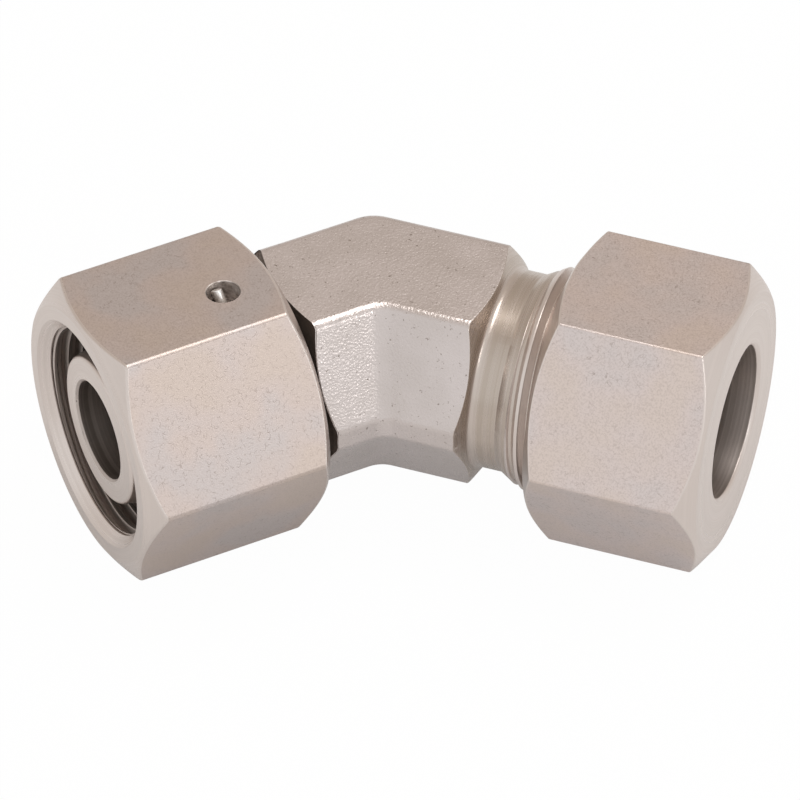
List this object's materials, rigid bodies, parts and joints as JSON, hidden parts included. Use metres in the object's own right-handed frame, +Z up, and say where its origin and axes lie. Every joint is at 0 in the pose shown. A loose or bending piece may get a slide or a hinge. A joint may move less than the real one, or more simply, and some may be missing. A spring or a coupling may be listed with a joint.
{
  "type": "elbow fitting",
  "caption": "Stainless 45 degree adjustable tube elbow: forged hexagonal body, captive swivel nut over a cone nose, and union nut with cutting ring on a threaded spigot.",
  "frame": {"origin": "centre of the tube stop in the socket of the tube leg, on the leg's axis", "axes": "+X out of the tube socket along the tube leg, +Z up and square to the plane of the bend; the swivel leg points towards -X -Y"},
  "size_m": [0.0921, 0.0634, 0.0374],
  "materials": {
    "forged_steel": "pickled forging",
    "nut_steel": "pickled, fine speckle",
    "turned_steel": "turned",
    "spring_wire": "drawn wire",
    "seal_rubber": "moulded"
  },
  "bodies": {
    "elbow": {"elbow_body": "forged_steel", "o_ring": "seal_rubber"},
    "swivel": {"swivel_nut": "nut_steel", "retaining_wire": "spring_wire"},
    "ring": {"cutting_ring": "turned_steel"},
    "union": {"union_nut": "nut_steel"}
  },
  "joints": [
    {"name": "swivel_turn", "type": "hinge", "parent": "elbow", "child": "swivel", "pos_m": [-0.0265, 0, 0], "axis": [-0.7071, -0.7071, 0], "continuous": true},
    {"name": "ring_travel", "type": "slide", "parent": "elbow", "child": "ring", "axis": [1, 0, 0], "range_m": [0, 0.01]},
    {"name": "union_turn", "type": "hinge", "parent": "ring", "child": "union", "pos_m": [0, 0, 0], "axis": [1, 0, 0], "range_deg": [0, 1800]}
  ],
  "couplings": [
    {"joint": "ring_travel", "follows": "union_turn", "m_per_rad": 0.00031831}
  ]
}
